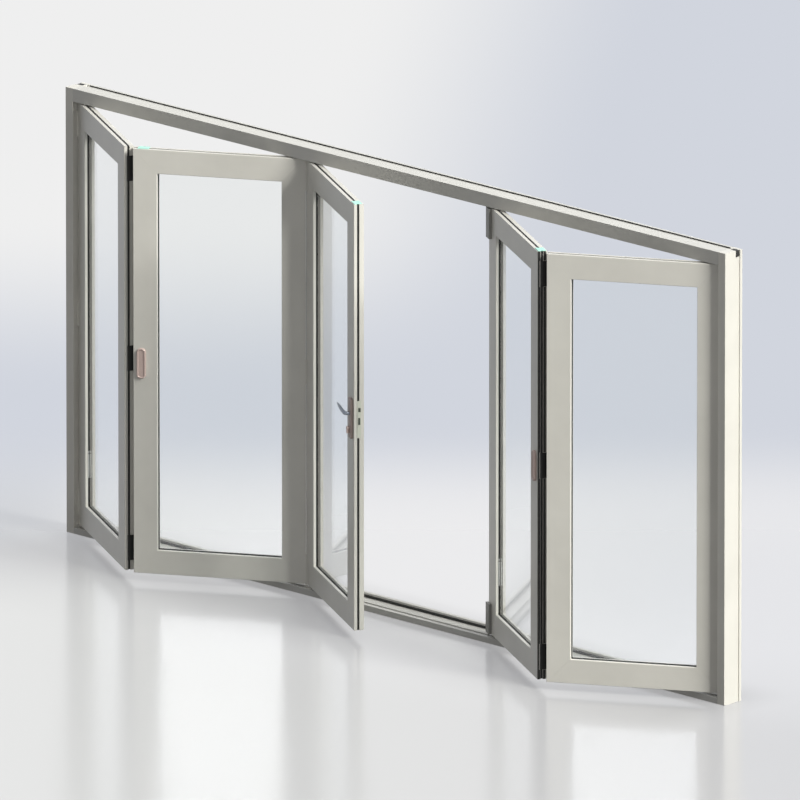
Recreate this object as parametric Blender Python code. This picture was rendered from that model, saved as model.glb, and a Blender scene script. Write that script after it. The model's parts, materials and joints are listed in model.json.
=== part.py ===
"""Five-panel bifold patio door in its outer frame, three panels folding to the left and two to the right.

Metres, +Z up. The outer frame runs along X and its front is at -Y. The origin is in the middle of the
sill's underside. The panels stand part folded, as they do when the door is being opened.
"""
import math

import bmesh
import bpy
from mathutils import Matrix, Vector

# Outer frame
FRAME_HEIGHT = 2.100
FRAME_DEPTH = 0.111
JAMB_WIDTH = 0.045
HEAD_HEIGHT = 0.062
SILL_HEIGHT = 0.028
SILL_STOP_HEIGHT = 0.050
STOP_LIP = 0.015
FRAME_CHAMFER = 0.0015
CHANNEL_START = 0.068
CHANNEL_WIDTH = 0.029
CHANNEL_DEPTH = 0.006
STOP_START = 0.093
JAMB_POCKET_DEPTH = 0.030

# Track in the head and guide groove in the sill
TRACK_MOUTH = 0.012
TRACK_LIP = 0.004
TRACK_WIDTH = 0.028
TRACK_HEIGHT = 0.028
GROOVE_WIDTH = 0.018
GROOVE_DEPTH = 0.014

# Folding panels
PANEL_WIDTH = 0.803
PANEL_THICKNESS = 0.048
PANEL_SETBACK = 0.030
PANEL_GAP = 0.004
JAMB_GAP = 0.004
HEAD_GAP = 0.004
PANEL_BOTTOM = 0.042
FOLD_ANGLE = math.radians(30.5)

# Stile and rail section
MEMBER_WIDTH = 0.112
MEMBER_CHAMFER = 0.0015
BEAD_CHAMFER = 0.002
FRONT_LIP = 0.0135
GLAZING_GROOVE_WIDTH = 0.0145
GLAZING_GROOVE_DEPTH = 0.016
EDGE_GROOVE_START = 0.015
EDGE_GROOVE_WIDTH = 0.0105
EDGE_GROOVE_DEPTH = 0.012
BACK_STEP_WIDTH = 0.008
BACK_STEP_DEPTH = 0.002

# Glazing
GLASS_THICKNESS = 0.006
GLASS_BITE = 0.011
GASKET_PROUD = 0.001

# Hinges and carriers
HINGE_OFFSET = 0.002
FOLD_HINGE_OFFSET = 0.004
KNUCKLE_RADIUS = 0.0026
HINGE_HEIGHT = 0.118
LEAF_THICKNESS = 0.0015
LEAF_WIDTH = 0.026
FOLD_LEAF_WIDTH = 0.039
JAMB_LEAF_MARGIN = 0.003
HINGE_END_DISTANCE = 0.105
CARRIER_HEIGHT = 0.140
CARRIER_END_GAP = 0.003
CARRIER_BLOCK_WIDTH = 0.050
CARRIER_BLOCK_OVERHANG = 0.0055
CARRIER_BLOCK_THICKNESS = 0.013
PIN_RADIUS = 0.0025
WHEEL_RADIUS = 0.008
WHEEL_SPACING = 0.036
TROLLEY_LENGTH = 0.060
TROLLEY_HEIGHT = 0.012
GUIDE_LENGTH = 0.040
GUIDE_HEIGHT = 0.010
GUIDE_CLEARANCE = 0.0005

# Handle, lock and pulls, measured up from the panel's bottom edge
HANDLE_HEIGHT = 0.988
HANDLE_EDGE_DISTANCE = 0.038
BACKPLATE_WIDTH = 0.044
BACKPLATE_HEIGHT = 0.190
BACKPLATE_THICKNESS = 0.011
BACKPLATE_BEVEL = 0.003
SPINDLE_RISE = 0.022
NECK_RADIUS = 0.0085
NECK_LENGTH = 0.024
LEVER_LENGTH = 0.112
LEVER_RISE = 0.020
LEVER_HALF_HEIGHT = 0.011
LEVER_HALF_DEPTH = 0.006
PULL_WIDTH = 0.042
PULL_HEIGHT = 0.141
PULL_THICKNESS = 0.012
PULL_DISH = 0.003
PULL_RIM = 0.006
FACEPLATE_WIDTH = 0.018
FACEPLATE_HEIGHT = 0.173
FACEPLATE_THICKNESS = 0.0025
FACEPLATE_CENTRE = 0.024

# Moulded caps on the top corners of three panels
TOP_CAP_LENGTH = 0.052
TOP_CAP_THICKNESS = 0.002
TOP_CAP_MARGIN = 0.003
TOP_CAP_INSET = 0.020

# Fit between pieces that seat on each other
SEAT = 0.0003

# Worked out from the sizes above
PANEL_COUNT = 5
FRAME_LENGTH = 2 * (JAMB_WIDTH + JAMB_GAP) + PANEL_COUNT * PANEL_WIDTH + (PANEL_COUNT - 1) * PANEL_GAP
PANEL_HEIGHT = FRAME_HEIGHT - HEAD_HEIGHT - HEAD_GAP - PANEL_BOTTOM
FRONT_Y = -FRAME_DEPTH / 2
HINGE_LINE = PANEL_SETBACK - HINGE_OFFSET
JAMB_PIVOT_INSET = KNUCKLE_RADIUS + SEAT - JAMB_GAP
GLAZING_END = FRONT_LIP + GLAZING_GROOVE_WIDTH
GLASS_FRONT = FRONT_LIP + (GLAZING_GROOVE_WIDTH - GLASS_THICKNESS) / 2
GLASS_BACK = GLASS_FRONT + GLASS_THICKNESS


def clear_scene():
    """Remove whatever the open scene holds."""
    for obj in list(bpy.data.objects):
        bpy.data.objects.remove(obj, do_unlink=True)


def make_material(name, color, roughness, metallic=0.0, transmission=0.0):
    """A Principled material with the piece's colour, roughness and metallic value."""
    material = bpy.data.materials.new(name)
    material.use_nodes = True
    shader = material.node_tree.nodes["Principled BSDF"]
    shader.inputs["Base Color"].default_value = (*color, 1.0)
    shader.inputs["Roughness"].default_value = roughness
    shader.inputs["Metallic"].default_value = metallic
    shader.inputs["Transmission Weight"].default_value = transmission
    return material


def make_object(name, bm, material, parent=None):
    """Turn a bmesh into a named object whose faces point outwards."""
    bmesh.ops.recalc_face_normals(bm, faces=bm.faces)
    mesh = bpy.data.meshes.new(name)
    bm.to_mesh(mesh)
    bm.free()
    mesh.materials.append(material)
    obj = bpy.data.objects.new(name, mesh)
    obj.parent = parent
    bpy.context.scene.collection.objects.link(obj)
    return obj


def bridge_loops(bm, loops, closed=False):
    """Join point loops of one length with quads. Open chains get a flat cap at each end."""
    rings = [[bm.verts.new(point) for point in loop] for loop in loops]
    count = len(rings[0])
    pairs = list(zip(rings, rings[1:]))
    if closed:
        pairs.append((rings[-1], rings[0]))
    for first, second in pairs:
        for i in range(count):
            j = (i + 1) % count
            bm.faces.new((first[i], first[j], second[j], second[i]))
    if not closed:
        bm.faces.new(reversed(rings[0]))
        bm.faces.new(rings[-1])


def loops_object(name, loops, material, parent=None, closed=False):
    """An object bridged from point loops."""
    bm = bmesh.new()
    bridge_loops(bm, loops, closed)
    return make_object(name, bm, material, parent)


def box_object(name, low, high, material, parent=None, bevel=0.0):
    """A box between two corners, with its edges bevelled where a bevel is given."""
    bm = bmesh.new()
    size = [b - a for a, b in zip(low, high)]
    centre = [(a + b) / 2 for a, b in zip(low, high)]
    placing = Matrix.Translation(centre) @ Matrix.Diagonal((*size, 1.0))
    bmesh.ops.create_cube(bm, size=1.0, matrix=placing)
    if bevel:
        bmesh.ops.bevel(bm, geom=bm.edges[:], offset=bevel, segments=2, profile=0.5, affect="EDGES")
    return make_object(name, bm, material, parent)


def cylinder_object(name, radius, start, end, material, parent=None, segments=24):
    """A round bar between two points."""
    bm = bmesh.new()
    start, end = Vector(start), Vector(end)
    axis = end - start
    turn = axis.to_track_quat("Z", "Y").to_matrix().to_4x4()
    bmesh.ops.create_cone(bm, cap_ends=True, segments=segments, radius1=radius, radius2=radius,
                          depth=axis.length, matrix=Matrix.Translation((start + end) / 2) @ turn)
    return make_object(name, bm, material, parent)


def combine(target, tool, operation):
    """Join a hidden tool to an object, or cut it away, with a Boolean modifier."""
    tool.hide_render = True
    tool.display_type = "WIRE"
    modifier = target.modifiers.new(tool.name, "BOOLEAN")
    modifier.operation = operation
    modifier.object = tool


def outer_channel():
    """The fixing channel along the outer side of every frame profile, from back to front."""
    end = CHANNEL_START + CHANNEL_WIDTH
    return [(0, end), (CHANNEL_DEPTH, end), (CHANNEL_DEPTH, CHANNEL_START), (0, CHANNEL_START)]


def stop_profile(face, stop, inner_side):
    """A frame section as (distance from the outer side, distance from the front).

    The face height runs back to the panel stop, which stands further into the opening, and
    inner_side gives the points of whatever track or groove is cut into the face.
    """
    c = FRAME_CHAMFER
    points = [(0, 0), (face - c, 0), (face, c)]
    points += inner_side
    points += [(face, STOP_START), (stop - c, STOP_START), (stop, STOP_START + c)]
    points += [(stop, FRAME_DEPTH), (0, FRAME_DEPTH)]
    return points + outer_channel()


def track_slot():
    """The C-shaped roller track on the underside of the head."""
    mouth, half = TRACK_MOUTH / 2, TRACK_WIDTH / 2
    lip = HEAD_HEIGHT - TRACK_LIP
    top = lip - TRACK_HEIGHT
    return [
        (HEAD_HEIGHT, HINGE_LINE - mouth), (lip, HINGE_LINE - mouth), (lip, HINGE_LINE - half),
        (top, HINGE_LINE - half), (top, HINGE_LINE + half), (lip, HINGE_LINE + half),
        (lip, HINGE_LINE + mouth), (HEAD_HEIGHT, HINGE_LINE + mouth),
    ]


def guide_groove():
    """The open guide groove in the top of the sill."""
    half = GROOVE_WIDTH / 2
    floor = SILL_HEIGHT - GROOVE_DEPTH
    return [
        (SILL_HEIGHT, HINGE_LINE - half), (floor, HINGE_LINE - half),
        (floor, HINGE_LINE + half), (SILL_HEIGHT, HINGE_LINE + half),
    ]


def make_jamb(name, side, material):
    """A full-height jamb. Side is -1 on the left and 1 on the right."""
    profile = stop_profile(JAMB_WIDTH, JAMB_WIDTH + STOP_LIP, [])
    outer = side * FRAME_LENGTH / 2
    loops = [[(outer - side * t, FRONT_Y + y, z) for t, y in profile] for z in (0.0, FRAME_HEIGHT)]
    jamb = loops_object(name, loops, material)
    ends = sorted((outer + side * STOP_LIP, outer - side * (JAMB_WIDTH - CHANNEL_DEPTH)))
    low = (ends[0], FRONT_Y + CHANNEL_START, FRAME_HEIGHT - JAMB_POCKET_DEPTH)
    high = (ends[1], FRONT_Y + STOP_START, FRAME_HEIGHT + STOP_LIP)
    combine(jamb, box_object(f"{name}_pocket", low, high, material), "DIFFERENCE")
    return jamb


def make_crosspiece(name, profile, outer_z, direction, material):
    """The head or the sill, fitted between the jambs and notched round their stops."""
    end = FRAME_LENGTH / 2 - JAMB_WIDTH - SEAT
    loops = [[(x, FRONT_Y + y, outer_z + direction * t) for t, y in profile] for x in (-end, end)]
    bar = loops_object(name, loops, material)
    notch_start = end - STOP_LIP
    reach = max(t for t, _ in profile) + STOP_LIP
    levels = sorted((outer_z - direction * STOP_LIP, outer_z + direction * reach))
    for side in (-1, 1):
        ends = sorted((side * notch_start, side * (end + STOP_LIP)))
        low = (ends[0], FRONT_Y + STOP_START - SEAT, levels[0])
        high = (ends[1], FRONT_Y + FRAME_DEPTH + STOP_LIP, levels[1])
        label = "left" if side < 0 else "right"
        combine(bar, box_object(f"{name}_{label}_notch", low, high, material), "DIFFERENCE")
    return bar


def member_profile():
    """Stile and rail section as (distance from the panel's outer edge, distance from its front)."""
    w, t, c, b = MEMBER_WIDTH, PANEL_THICKNESS, MEMBER_CHAMFER, BEAD_CHAMFER
    groove_end = EDGE_GROOVE_START + EDGE_GROOVE_WIDTH
    groove_floor = w - GLAZING_GROOVE_DEPTH
    return [
        (c, 0), (w - b, 0), (w, b), (w, FRONT_LIP), (groove_floor, FRONT_LIP),
        (groove_floor, GLAZING_END), (w, GLAZING_END), (w, t - b), (w - b, t),
        (BACK_STEP_DEPTH + c, t), (BACK_STEP_DEPTH, t - c), (BACK_STEP_DEPTH, t - BACK_STEP_WIDTH),
        (0, t - BACK_STEP_WIDTH), (0, groove_end), (EDGE_GROOVE_DEPTH, groove_end),
        (EDGE_GROOVE_DEPTH, EDGE_GROOVE_START), (0, EDGE_GROOVE_START), (0, c),
    ]


def panel_corners():
    """Outer corners of a panel in its own plane, each with its inward diagonal."""
    w, h = PANEL_WIDTH, PANEL_HEIGHT
    return [((0, 0), (1, 1)), ((w, 0), (-1, 1)), ((w, h), (-1, -1)), ((0, h), (1, -1))]


def corner_loop(profile, corner, relief=(0.0, 0.0)):
    """A section laid in the mitre plane of a panel corner, moved off it by a small relief."""
    (x, z), (dx, dz) = corner
    return [(x + dx * a + relief[0], b, z + dz * a + relief[1]) for a, b in profile]


def make_member(name, first, second, material, parent):
    """A stile or rail with both ends mitred, between two neighbouring corners of the panel."""
    (x0, z0), (x1, z1) = first[0], second[0]
    length = math.hypot(x1 - x0, z1 - z0)
    along = ((x1 - x0) / length, (z1 - z0) / length)
    step = SEAT / math.sqrt(2)
    ahead = (along[0] * step, along[1] * step)
    back = (-ahead[0], -ahead[1])
    profile = member_profile()
    loops = [corner_loop(profile, first, ahead), corner_loop(profile, second, back)]
    return loops_object(name, loops, material, parent)


def gasket_profile():
    """U-shaped glazing gasket that lines the groove and grips the glass edge."""
    inner = MEMBER_WIDTH + GASKET_PROUD
    outer = MEMBER_WIDTH - GLAZING_GROOVE_DEPTH + SEAT
    bite = MEMBER_WIDTH - GLASS_BITE - SEAT
    front, back = FRONT_LIP + SEAT, GLAZING_END - SEAT
    glass_front, glass_back = GLASS_FRONT - SEAT, GLASS_BACK + SEAT
    return [
        (outer, front), (inner, front), (inner, glass_front), (bite, glass_front),
        (bite, glass_back), (inner, glass_back), (inner, back), (outer, back),
    ]


def make_panel(number, origin, turn, materials):
    """One glazed panel on its own empty, which stands at the panel's front left bottom corner."""
    empty = bpy.data.objects.new(f"panel_{number}", None)
    empty.location = (origin.x, origin.y, PANEL_BOTTOM)
    empty.rotation_euler = (0.0, 0.0, turn)
    bpy.context.scene.collection.objects.link(empty)
    corners = panel_corners()
    sides = ["bottom_rail", "right_stile", "top_rail", "left_stile"]
    for i, side in enumerate(sides):
        make_member(f"panel_{number}_{side}", corners[i], corners[(i + 1) % 4], materials["paint"], empty)
    rings = [corner_loop(gasket_profile(), corner) for corner in corners]
    loops_object(f"panel_{number}_gasket", rings, materials["rubber"], empty, closed=True)
    edge = MEMBER_WIDTH - GLASS_BITE
    low = (edge, GLASS_FRONT, edge)
    high = (PANEL_WIDTH - edge, GLASS_BACK, PANEL_HEIGHT - edge)
    box_object(f"panel_{number}_glass", low, high, materials["glass"], empty)
    return empty


class Panel:
    """Plan position of a panel: where its front left corner stands and how far it is turned."""

    def __init__(self, turn, pivot, local_pivot):
        self.turn = turn
        self.along = Vector((math.cos(turn), math.sin(turn)))
        self.back = Vector((-math.sin(turn), math.cos(turn)))
        self.origin = pivot - self.along * local_pivot[0] - self.back * local_pivot[1]

    def point(self, u, v):
        """A plan point from distances along the panel and back from its front face."""
        return self.origin + self.along * u + self.back * v


def second_fold_angle(first_arm, second_arm, cross):
    """The turn of the panel whose far hinge runs in the track, given that its neighbour is folded.

    Both hinge arms must reach the same distance out from the track line.
    """
    reach = first_arm * math.sin(FOLD_ANGLE) - cross * math.cos(FOLD_ANGLE)
    return math.atan2(cross, second_arm) + math.asin(reach / math.hypot(second_arm, cross))


def place_panels():
    """Fold the panels about their hinge axes and return them with the axes' plan points."""
    back_axis = PANEL_THICKNESS + FOLD_HINGE_OFFSET
    half_gap = PANEL_GAP / 2
    far = PANEL_WIDTH + half_gap
    first_arm = far - JAMB_PIVOT_INSET
    partner = second_fold_angle(first_arm, PANEL_WIDTH + PANEL_GAP, back_axis + HINGE_OFFSET)
    pivot_x = FRAME_LENGTH / 2 - JAMB_WIDTH - KNUCKLE_RADIUS - SEAT
    line_y = FRONT_Y + HINGE_LINE
    left_pivot, right_pivot = Vector((-pivot_x, line_y)), Vector((pivot_x, line_y))

    first = Panel(-FOLD_ANGLE, left_pivot, (JAMB_PIVOT_INSET, -HINGE_OFFSET))
    left_fold = first.point(far, back_axis)
    second = Panel(partner, left_fold, (-half_gap, back_axis))
    left_track = second.point(far, -HINGE_OFFSET)
    third = Panel(-FOLD_ANGLE, left_track, (-half_gap, -HINGE_OFFSET))

    fifth = Panel(FOLD_ANGLE, right_pivot, (PANEL_WIDTH - JAMB_PIVOT_INSET, -HINGE_OFFSET))
    right_fold = fifth.point(-half_gap, back_axis)
    fourth = Panel(-partner, right_fold, (far, back_axis))
    right_track = fourth.point(-half_gap, -HINGE_OFFSET)

    axes = {
        "left_pivot": left_pivot, "left_fold": left_fold, "left_track": left_track,
        "right_track": right_track, "right_fold": right_fold, "right_pivot": right_pivot,
    }
    return [first, second, third, fourth, fifth], axes


def heading(vector):
    """Plan angle of a direction."""
    return math.atan2(vector.y, vector.x)


def sweep_between(start, end, sense):
    """The turn from one angle to another, taken in the given sense."""
    return sense * ((sense * (end - start)) % (2 * math.pi))


def arc_points(centre, radius, start, turn, steps):
    """Points round a circle, from a start angle through a turn."""
    angles = [start + turn * i / steps for i in range(steps + 1)]
    return [centre + Vector((math.cos(a), math.sin(a))) * radius for a in angles]


class Leaf:
    """A hinge leaf that lies on a flat face: where it runs, and how far the axis stands off."""

    def __init__(self, axis, along, normal, stand_off, width):
        self.axis = axis
        self.along = along
        self.normal = normal
        self.stand_off = stand_off
        self.width = width

    def point(self, u, t):
        """A plan point at a distance u along the leaf and t off the face that carries it."""
        return self.axis + self.along * u + self.normal * (t - self.stand_off)

    def joint(self):
        """Where the leaf's outer side runs into the knuckle."""
        t = SEAT + LEAF_THICKNESS
        u = math.sqrt(KNUCKLE_RADIUS ** 2 - (self.stand_off - t) ** 2)
        return self.point(u, t)


def hinge_outline(axis, leaves):
    """Plan outline of a knuckle with one or two leaves, as one closed line."""
    first, last = leaves[0], leaves[-1]
    start = heading(-first.normal)
    if len(leaves) == 2:
        end = heading(-last.normal)
        sense = math.copysign(1.0, math.sin(end - start))
    else:
        sense = -math.copysign(1.0, math.sin(heading(first.along) - start))
    points = [first.point(first.width, SEAT), first.point(0.0, SEAT)]
    if len(leaves) == 2:
        points += arc_points(axis, KNUCKLE_RADIUS, start, sweep_between(start, end, sense), 5)
        outer = SEAT + LEAF_THICKNESS
        points += [last.point(0.0, SEAT), last.point(last.width, SEAT), last.point(last.width, outer)]
        start = heading(last.joint() - axis)
    turn = sweep_between(start, heading(first.joint() - axis), sense)
    points += arc_points(axis, KNUCKLE_RADIUS, start, turn, 16)
    points.append(first.point(first.width, SEAT + LEAF_THICKNESS))
    return points


def extrude_outline(name, outline, bottom, top, material):
    """A vertical prism on a plan outline."""
    loops = [[(p.x, p.y, z) for p in outline] for z in (bottom, top)]
    return loops_object(name, loops, material)


def make_hinge(name, axis, leaves, centre_z, material):
    """A butt hinge, fixed at the fold angle."""
    half = HINGE_HEIGHT / 2
    outline = hinge_outline(axis, leaves)
    return extrude_outline(name, outline, centre_z - half, centre_z + half, material)


def carrier_block(panel):
    """Plan outline of the carrier block on the front of a panel, at its free edge."""
    near, far = -CARRIER_BLOCK_OVERHANG, CARRIER_BLOCK_WIDTH - CARRIER_BLOCK_OVERHANG
    front, back = -SEAT - CARRIER_BLOCK_THICKNESS, -SEAT
    return [panel.point(u, v) for u, v in ((near, back), (near, front), (far, front), (far, back))]


def make_top_carrier(name, axis, outline, material):
    """Top carrier body with its pin, trolley and wheels, which run on the lips of the head track."""
    top = PANEL_BOTTOM + PANEL_HEIGHT - CARRIER_END_GAP
    body = extrude_outline(name, outline, top - CARRIER_HEIGHT, top, material)
    wheel_z = FRAME_HEIGHT - HEAD_HEIGHT + TRACK_LIP + SEAT + WHEEL_RADIUS
    pin_top = wheel_z + TROLLEY_HEIGHT / 4
    pin = cylinder_object(f"{name}_pin", PIN_RADIUS, (axis.x, axis.y, top - CARRIER_HEIGHT / 4),
                          (axis.x, axis.y, pin_top), material)
    combine(body, pin, "UNION")
    reach = TRACK_WIDTH / 2 - GUIDE_CLEARANCE
    inner = reach - WHEEL_RADIUS / 2
    low = (axis.x - TROLLEY_LENGTH / 2, axis.y - inner, wheel_z - TROLLEY_HEIGHT / 2)
    high = (axis.x + TROLLEY_LENGTH / 2, axis.y + inner, wheel_z + TROLLEY_HEIGHT / 2)
    combine(body, box_object(f"{name}_trolley", low, high, material), "UNION")
    for i, side in enumerate((-1, 1)):
        x = axis.x + side * WHEEL_SPACING / 2
        wheel = cylinder_object(f"{name}_wheel_{i + 1}", WHEEL_RADIUS, (x, axis.y - reach, wheel_z),
                                (x, axis.y + reach, wheel_z), material)
        combine(body, wheel, "UNION")
    return body


def make_bottom_guide(name, axis, outline, material):
    """Bottom carrier body with its pin and the block that slides in the sill groove."""
    bottom = PANEL_BOTTOM + CARRIER_END_GAP
    body = extrude_outline(name, outline, bottom, bottom + CARRIER_HEIGHT, material)
    floor = SILL_HEIGHT - GROOVE_DEPTH + SEAT
    pin = cylinder_object(f"{name}_pin", PIN_RADIUS, (axis.x, axis.y, floor + GUIDE_HEIGHT / 2),
                          (axis.x, axis.y, bottom + CARRIER_HEIGHT / 4), material)
    combine(body, pin, "UNION")
    half = GROOVE_WIDTH / 2 - GUIDE_CLEARANCE
    low = (axis.x - GUIDE_LENGTH / 2, axis.y - half, floor)
    high = (axis.x + GUIDE_LENGTH / 2, axis.y + half, floor + GUIDE_HEIGHT)
    combine(body, box_object(f"{name}_block", low, high, material), "UNION")
    return body


def make_hardware(panels, axes, materials):
    """Every hinge, top carrier and bottom guide, each on the panels that it joins."""
    first, second, third, fourth, fifth = panels
    paint, metal = materials["paint"], materials["hinge"]

    def face_leaf(axis, panel, direction):
        return Leaf(axis, panel.along * direction, -panel.back, HINGE_OFFSET, LEAF_WIDTH)

    def edge_leaf(axis, panel, direction):
        return Leaf(axis, -panel.back, panel.along * -direction, PANEL_GAP / 2, FOLD_LEAF_WIDTH)

    def jamb_leaf(axis, side):
        width = HINGE_LINE - JAMB_LEAF_MARGIN
        return Leaf(axis, Vector((0.0, -1.0)), Vector((-side, 0.0)), KNUCKLE_RADIUS + SEAT, width)

    low = PANEL_BOTTOM + HINGE_END_DISTANCE
    high = PANEL_BOTTOM + PANEL_HEIGHT - HINGE_END_DISTANCE
    levels = {"lower": low, "middle": (low + high) / 2, "upper": high}
    joints = {
        "left_jamb": ("left_pivot", [(first, 1)], -1),
        "left_fold": ("left_fold", [(first, -1), (second, 1)], 0),
        "right_fold": ("right_fold", [(fourth, -1), (fifth, 1)], 0),
        "right_jamb": ("right_pivot", [(fifth, -1)], 1),
    }
    for label, (key, sides, jamb) in joints.items():
        axis = axes[key]
        if jamb:
            leaves = [face_leaf(axis, *side) for side in sides] + [jamb_leaf(axis, jamb)]
        else:
            leaves = [edge_leaf(axis, *side) for side in sides]
        for level, z in levels.items():
            make_hinge(f"{label}_hinge_{level}", axis, leaves, z, paint if jamb else materials["black"])

    axis = axes["left_track"]
    leaves = [face_leaf(axis, second, -1), face_leaf(axis, third, 1)]
    make_hinge("left_track_hinge_middle", axis, leaves, levels["middle"], paint)
    outline = hinge_outline(axis, leaves)
    make_top_carrier("left_top_carrier", axis, outline, paint)
    make_bottom_guide("left_bottom_guide", axis, outline, paint)
    axis, outline = axes["right_track"], carrier_block(fourth)
    make_top_carrier("right_top_carrier", axis, outline, metal)
    make_bottom_guide("right_bottom_guide", axis, outline, metal)


def rounded_rectangle(width, height, radius, steps=6):
    """Outline points of a rectangle with round corners, centred on zero."""
    points = []
    for i, (sx, sz) in enumerate(((1, 1), (-1, 1), (-1, -1), (1, -1))):
        centre = Vector((sx * (width / 2 - radius), sz * (height / 2 - radius)))
        points += arc_points(centre, radius, i * math.pi / 2, math.pi / 2, steps)
    return points


def plate_loops(width, height, centre, levels, radius):
    """Loops of a round-cornered plate in a panel's plane: each level is (distance back, inset)."""
    loops = []
    for depth, inset in levels:
        outline = rounded_rectangle(width - 2 * inset, height - 2 * inset, max(radius - inset, radius / 4))
        loops.append([(centre[0] + p.x, depth, centre[1] + p.y) for p in outline])
    return loops


def make_pull(name, panel_empty, edge_x, material):
    """A raised pull with a shallow dish in its face, on the front of a stile."""
    front = -SEAT - PULL_THICKNESS
    levels = [
        (-SEAT, 0.0), (front + PULL_RIM / 2, 0.0), (front, PULL_RIM / 2), (front, PULL_RIM),
        (front + PULL_DISH, PULL_RIM + PULL_DISH),
    ]
    radius = PULL_WIDTH / 2 - PULL_RIM / 2
    loops = plate_loops(PULL_WIDTH, PULL_HEIGHT, (edge_x, HANDLE_HEIGHT), levels, radius)
    return loops_object(name, loops, material, panel_empty)


def make_backplate(name, panel_empty, centre_x, material):
    """The long plate behind the lever, on the panel's front."""
    top = -SEAT - BACKPLATE_THICKNESS
    levels = [(-SEAT, 0.0), (top + BACKPLATE_BEVEL, 0.0), (top, BACKPLATE_BEVEL)]
    radius = BACKPLATE_WIDTH / 4
    loops = plate_loops(BACKPLATE_WIDTH, BACKPLATE_HEIGHT, (centre_x, HANDLE_HEIGHT), levels, radius)
    return loops_object(name, loops, material, panel_empty)


def bezier(points, t):
    """A point on the cubic curve that four control points set."""
    s = 1 - t
    weights = (s ** 3, 3 * s * s * t, 3 * s * t * t, t ** 3)
    return sum((p * w for p, w in zip(points, weights)), Vector())


def lever_path(spindle, steps=14):
    """Centre line of the lever: out from the plate, round a bend, then along the panel and gently up."""
    out = Vector((0.0, -1.0, 0.0))
    along = Vector((-1.0, 0.0, LEVER_RISE / LEVER_LENGTH))
    bend = spindle + out * NECK_LENGTH
    tip = bend + along * LEVER_LENGTH
    controls = [spindle + out * NECK_LENGTH * 0.45, bend, bend + along * LEVER_LENGTH * 0.15, tip]
    path = [spindle]
    path += [bezier(controls, i / steps) for i in range(steps + 1)]
    return path


def lever_section(i, count):
    """Half height and half depth of the lever at a point of its path: a round neck, then a flat grip."""
    share = min(1.0, max(0.0, (i - 2) / (count * 0.45)))
    ease = share * share * (3 - 2 * share)
    tip = 1.0 - 0.35 * max(0.0, (i - count + 4) / 3) ** 2
    height = NECK_RADIUS + (LEVER_HALF_HEIGHT - NECK_RADIUS) * ease
    depth = NECK_RADIUS + (LEVER_HALF_DEPTH - NECK_RADIUS) * ease
    return height * tip, depth * tip


def make_lever(name, panel_empty, spindle, material, sides=16):
    """A lever handle swept along its centre line."""
    path = lever_path(spindle)
    loops = []
    for i, point in enumerate(path):
        ahead, behind = path[min(i + 1, len(path) - 1)], path[max(i - 1, 0)]
        tangent = (ahead - behind).normalized()
        across = Vector((0.0, 0.0, 1.0)).cross(tangent).normalized()
        up = tangent.cross(across)
        half_height, half_depth = lever_section(i, len(path) - 1)
        angles = [2 * math.pi * k / sides for k in range(sides)]
        loops.append([point + up * math.sin(a) * half_height + across * math.cos(a) * half_depth
                      for a in angles])
    return loops_object(name, loops, material, panel_empty)


def make_lock_stile_fittings(panel_empty, materials):
    """The lever on its plate on the swing panel's front, and the lock's faceplate in its edge."""
    centre_x = PANEL_WIDTH - HANDLE_EDGE_DISTANCE
    make_backplate("outer_backplate", panel_empty, centre_x, materials["plate"])
    spindle = Vector((centre_x, -BACKPLATE_THICKNESS - 2 * SEAT, HANDLE_HEIGHT + SPINDLE_RISE))
    make_lever("outer_lever", panel_empty, spindle, materials["lever"])
    half_width, half_height = FACEPLATE_WIDTH / 2, FACEPLATE_HEIGHT / 2
    low = (PANEL_WIDTH + SEAT, FACEPLATE_CENTRE - half_width, HANDLE_HEIGHT - half_height)
    high = (PANEL_WIDTH + SEAT + FACEPLATE_THICKNESS, FACEPLATE_CENTRE + half_width,
            HANDLE_HEIGHT + half_height)
    box_object("lock_faceplate", low, high, materials["lever"], panel_empty)


def make_top_cap(number, panel_empty, start, material):
    """A thin moulded cap on the top of a panel, near one corner."""
    low = (start, TOP_CAP_MARGIN, PANEL_HEIGHT + SEAT)
    high = (start + TOP_CAP_LENGTH, PANEL_THICKNESS - BACK_STEP_WIDTH, PANEL_HEIGHT + SEAT + TOP_CAP_THICKNESS)
    box_object(f"panel_{number}_top_cap", low, high, material, panel_empty)


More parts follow.
